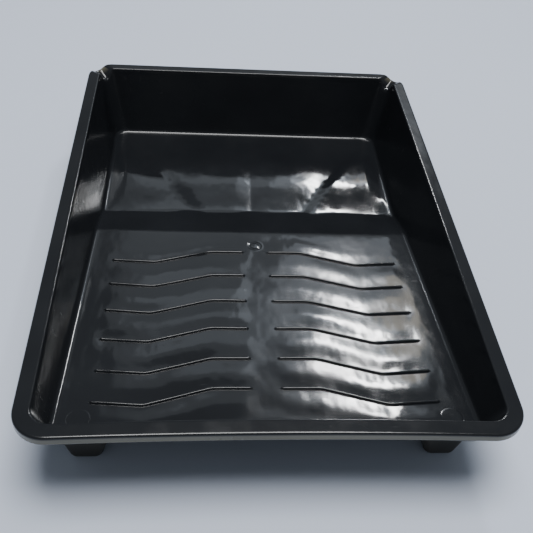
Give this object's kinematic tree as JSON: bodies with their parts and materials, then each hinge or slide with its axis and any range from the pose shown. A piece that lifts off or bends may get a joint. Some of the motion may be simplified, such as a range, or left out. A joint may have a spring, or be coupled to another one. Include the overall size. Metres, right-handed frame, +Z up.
{
  "type": "paint roller tray",
  "caption": "Rectangular tray with a ribbed ramp that runs down to a paint well, a turned-down rim with a pouring gutter in each deep corner, and push-on feet under the shallow end.",
  "frame": {"origin": "on the floor, under the middle of the rim", "axes": "+Z up, +Y from the shallow ramp end to the deep well end, +X to the right seen from the shallow end"},
  "size_m": [0.278, 0.388, 0.0598],
  "materials": {
    "tray_plastic": "glossy injection-moulded black polypropylene",
    "foot_plastic": "satin black moulded plastic"
  },
  "bodies": {
    "root": {"tray": "tray_plastic", "left_foot": "foot_plastic", "right_foot": "foot_plastic"}
  },
  "joints": []
}
